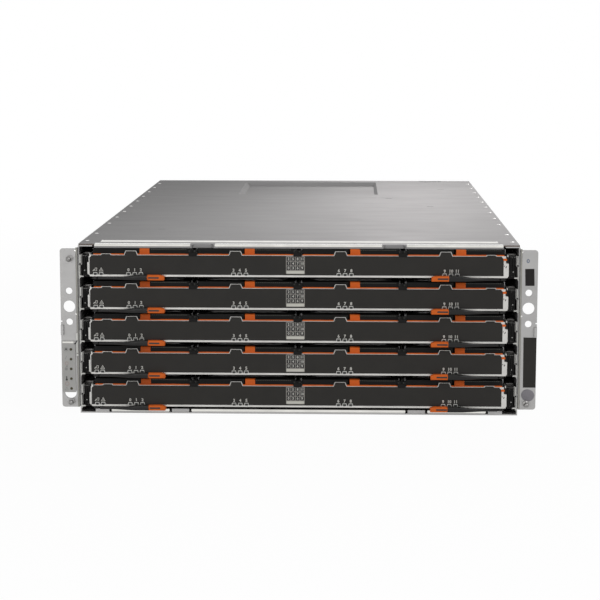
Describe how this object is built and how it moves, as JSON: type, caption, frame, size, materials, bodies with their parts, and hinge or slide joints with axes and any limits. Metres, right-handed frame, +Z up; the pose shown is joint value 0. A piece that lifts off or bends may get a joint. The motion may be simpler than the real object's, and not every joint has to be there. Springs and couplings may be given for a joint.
{
  "type": "disk shelf enclosure",
  "caption": "Rack-mounted steel disk shelf with stacked pull-out drawers of hard disks, release levers, rack ears, and plug-in fan, power and control modules at the rear.",
  "frame": {"origin": "centre of the bottom of the whole object's box", "axes": "+X right seen from the front, +Y towards the rear, +Z up; the drawers' fronts face -Y"},
  "size_m": [0.4826, 0.8255, 0.1749],
  "materials": {
    "galvanised_steel": "satin galvanised sheet",
    "tray_steel": "satin galvanised sheet",
    "slide_steel": "zinc plated, lightly greased",
    "module_steel": "satin",
    "panel_grey": "fine textured",
    "light_pipe": "clear amber, unlit",
    "bright_metal": "bright turned",
    "label_black": "matt printed film",
    "black_plastic": "fine textured",
    "lever_plastic": "black with an orange tip",
    "orange_plastic": "fine textured",
    "disk_aluminium": "cast, machined",
    "circuit_board": "solder mask"
  },
  "bodies": {
    "casing": {"base_pan": "galvanised_steel", "top_cover_front": "galvanised_steel", "top_cover_rear": "galvanised_steel", "ear_left": "galvanised_steel", "ear_right": "galvanised_steel", "rear_frame": "galvanised_steel", "status_panel": "panel_grey", "status_lights": "light_pipe", "bezel_studs": "bright_metal", "cover_rivets": "bright_metal", "slide_channels": "slide_steel", "midplane_board": "circuit_board"},
    "drawer_1": {"drawer_1_tray": "tray_steel", "drawer_1_face_label": "label_black", "drawer_1_disks": "disk_aluminium", "drawer_1_carriers": "black_plastic", "drawer_1_latches": "orange_plastic"},
    "drawer_1_lever_left": {"drawer_1_lever_left": "lever_plastic"},
    "drawer_1_lever_right": {"drawer_1_lever_right": "lever_plastic"},
    "drawer_1_middle_slides": {"drawer_1_middle_slides": "slide_steel"},
    "drawer_2": {"drawer_2_tray": "tray_steel", "drawer_2_face_label": "label_black", "drawer_2_disks": "disk_aluminium", "drawer_2_carriers": "black_plastic", "drawer_2_latches": "orange_plastic"},
    "drawer_2_lever_left": {"drawer_2_lever_left": "lever_plastic"},
    "drawer_2_lever_right": {"drawer_2_lever_right": "lever_plastic"},
    "drawer_2_middle_slides": {"drawer_2_middle_slides": "slide_steel"},
    "drawer_3": {"drawer_3_tray": "tray_steel", "drawer_3_face_label": "label_black", "drawer_3_disks": "disk_aluminium", "drawer_3_carriers": "black_plastic", "drawer_3_latches": "orange_plastic"},
    "drawer_3_lever_left": {"drawer_3_lever_left": "lever_plastic"},
    "drawer_3_lever_right": {"drawer_3_lever_right": "lever_plastic"},
    "drawer_3_middle_slides": {"drawer_3_middle_slides": "slide_steel"},
    "drawer_4": {"drawer_4_tray": "tray_steel", "drawer_4_face_label": "label_black", "drawer_4_disks": "disk_aluminium", "drawer_4_carriers": "black_plastic", "drawer_4_latches": "orange_plastic"},
    "drawer_4_lever_left": {"drawer_4_lever_left": "lever_plastic"},
    "drawer_4_lever_right": {"drawer_4_lever_right": "lever_plastic"},
    "drawer_4_middle_slides": {"drawer_4_middle_slides": "slide_steel"},
    "drawer_5": {"drawer_5_tray": "tray_steel", "drawer_5_face_label": "label_black", "drawer_5_disks": "disk_aluminium", "drawer_5_carriers": "black_plastic", "drawer_5_latches": "orange_plastic"},
    "drawer_5_lever_left": {"drawer_5_lever_left": "lever_plastic"},
    "drawer_5_lever_right": {"drawer_5_lever_right": "lever_plastic"},
    "drawer_5_middle_slides": {"drawer_5_middle_slides": "slide_steel"},
    "fan_module_lower": {"fan_module_lower": "module_steel"},
    "power_supply_lower": {"power_supply_lower": "module_steel"},
    "control_module_lower": {"control_module_lower": "module_steel"},
    "fan_rotor_lower": {"fan_rotor_lower": "black_plastic"},
    "fan_module_upper": {"fan_module_upper": "module_steel"},
    "power_supply_upper": {"power_supply_upper": "module_steel"},
    "control_module_upper": {"control_module_upper": "module_steel"},
    "fan_rotor_upper": {"fan_rotor_upper": "black_plastic"}
  },
  "joints": [
    {"name": "drawer_1_slide", "type": "slide", "parent": "casing", "child": "drawer_1", "axis": [0, -1, 0], "range_m": [0, 0.43]},
    {"name": "drawer_1_middle_slide", "type": "slide", "parent": "casing", "child": "drawer_1_middle_slides", "axis": [0, -1, 0], "range_m": [0, 0.215]},
    {"name": "drawer_1_lever_right_pivot", "type": "hinge", "parent": "drawer_1", "child": "drawer_1_lever_right", "pos_m": [0.206, -0.39575, 0.14025], "axis": [0, 0, 1], "range_deg": [0, 75]},
    {"name": "drawer_1_lever_left_pivot", "type": "hinge", "parent": "drawer_1", "child": "drawer_1_lever_left", "pos_m": [-0.206, -0.39575, 0.14025], "axis": [0, 0, -1], "range_deg": [0, 75]},
    {"name": "drawer_2_slide", "type": "slide", "parent": "casing", "child": "drawer_2", "axis": [0, -1, 0], "range_m": [0, 0.43]},
    {"name": "drawer_2_middle_slide", "type": "slide", "parent": "casing", "child": "drawer_2_middle_slides", "axis": [0, -1, 0], "range_m": [0, 0.215]},
    {"name": "drawer_2_lever_right_pivot", "type": "hinge", "parent": "drawer_2", "child": "drawer_2_lever_right", "pos_m": [0.206, -0.39575, 0.10675], "axis": [0, 0, 1], "range_deg": [0, 75]},
    {"name": "drawer_2_lever_left_pivot", "type": "hinge", "parent": "drawer_2", "child": "drawer_2_lever_left", "pos_m": [-0.206, -0.39575, 0.10675], "axis": [0, 0, -1], "range_deg": [0, 75]},
    {"name": "drawer_3_slide", "type": "slide", "parent": "casing", "child": "drawer_3", "axis": [0, -1, 0], "range_m": [0, 0.43]},
    {"name": "drawer_3_middle_slide", "type": "slide", "parent": "casing", "child": "drawer_3_middle_slides", "axis": [0, -1, 0], "range_m": [0, 0.215]},
    {"name": "drawer_3_lever_right_pivot", "type": "hinge", "parent": "drawer_3", "child": "drawer_3_lever_right", "pos_m": [0.206, -0.39575, 0.07325], "axis": [0, 0, 1], "range_deg": [0, 75]},
    {"name": "drawer_3_lever_left_pivot", "type": "hinge", "parent": "drawer_3", "child": "drawer_3_lever_left", "pos_m": [-0.206, -0.39575, 0.07325], "axis": [0, 0, -1], "range_deg": [0, 75]},
    {"name": "drawer_4_slide", "type": "slide", "parent": "casing", "child": "drawer_4", "axis": [0, -1, 0], "range_m": [0, 0.43]},
    {"name": "drawer_4_middle_slide", "type": "slide", "parent": "casing", "child": "drawer_4_middle_slides", "axis": [0, -1, 0], "range_m": [0, 0.215]},
    {"name": "drawer_4_lever_right_pivot", "type": "hinge", "parent": "drawer_4", "child": "drawer_4_lever_right", "pos_m": [0.206, -0.39575, 0.03975], "axis": [0, 0, 1], "range_deg": [0, 75]},
    {"name": "drawer_4_lever_left_pivot", "type": "hinge", "parent": "drawer_4", "child": "drawer_4_lever_left", "pos_m": [-0.206, -0.39575, 0.03975], "axis": [0, 0, -1], "range_deg": [0, 75]},
    {"name": "drawer_5_slide", "type": "slide", "parent": "casing", "child": "drawer_5", "axis": [0, -1, 0], "range_m": [0, 0.43]},
    {"name": "drawer_5_middle_slide", "type": "slide", "parent": "casing", "child": "drawer_5_middle_slides", "axis": [0, -1, 0], "range_m": [0, 0.215]},
    {"name": "drawer_5_lever_right_pivot", "type": "hinge", "parent": "drawer_5", "child": "drawer_5_lever_right", "pos_m": [0.206, -0.39575, 0.00625], "axis": [0, 0, 1], "range_deg": [0, 75]},
    {"name": "drawer_5_lever_left_pivot", "type": "hinge", "parent": "drawer_5", "child": "drawer_5_lever_left", "pos_m": [-0.206, -0.39575, 0.00625], "axis": [0, 0, -1], "range_deg": [0, 75]},
    {"name": "fan_module_lower_slide", "type": "slide", "parent": "casing", "child": "fan_module_lower", "axis": [0, 1, 0], "range_m": [0, 0.24]},
    {"name": "power_supply_lower_slide", "type": "slide", "parent": "casing", "child": "power_supply_lower", "axis": [0, 1, 0], "range_m": [0, 0.24]},
    {"name": "control_module_lower_slide", "type": "slide", "parent": "casing", "child": "control_module_lower", "axis": [0, 1, 0], "range_m": [0, 0.24]},
    {"name": "fan_rotor_lower_spin", "type": "hinge", "parent": "fan_module_lower", "child": "fan_rotor_lower", "pos_m": [0.1341, 0.37925, 0.0436], "axis": [0, 1, 0], "continuous": true},
    {"name": "fan_module_upper_slide", "type": "slide", "parent": "casing", "child": "fan_module_upper", "axis": [0, 1, 0], "range_m": [0, 0.24]},
    {"name": "power_supply_upper_slide", "type": "slide", "parent": "casing", "child": "power_supply_upper", "axis": [0, 1, 0], "range_m": [0, 0.24]},
    {"name": "control_module_upper_slide", "type": "slide", "parent": "casing", "child": "control_module_upper", "axis": [0, 1, 0], "range_m": [0, 0.24]},
    {"name": "fan_rotor_upper_spin", "type": "hinge", "parent": "fan_module_upper", "child": "fan_rotor_upper", "pos_m": [0.1341, 0.37925, 0.1296], "axis": [0, 1, 0], "continuous": true}
  ],
  "couplings": [
    {"joint": "drawer_1_middle_slide", "follows": "drawer_1_slide", "ratio": 0.5},
    {"joint": "drawer_2_middle_slide", "follows": "drawer_2_slide", "ratio": 0.5},
    {"joint": "drawer_3_middle_slide", "follows": "drawer_3_slide", "ratio": 0.5},
    {"joint": "drawer_4_middle_slide", "follows": "drawer_4_slide", "ratio": 0.5},
    {"joint": "drawer_5_middle_slide", "follows": "drawer_5_slide", "ratio": 0.5}
  ]
}
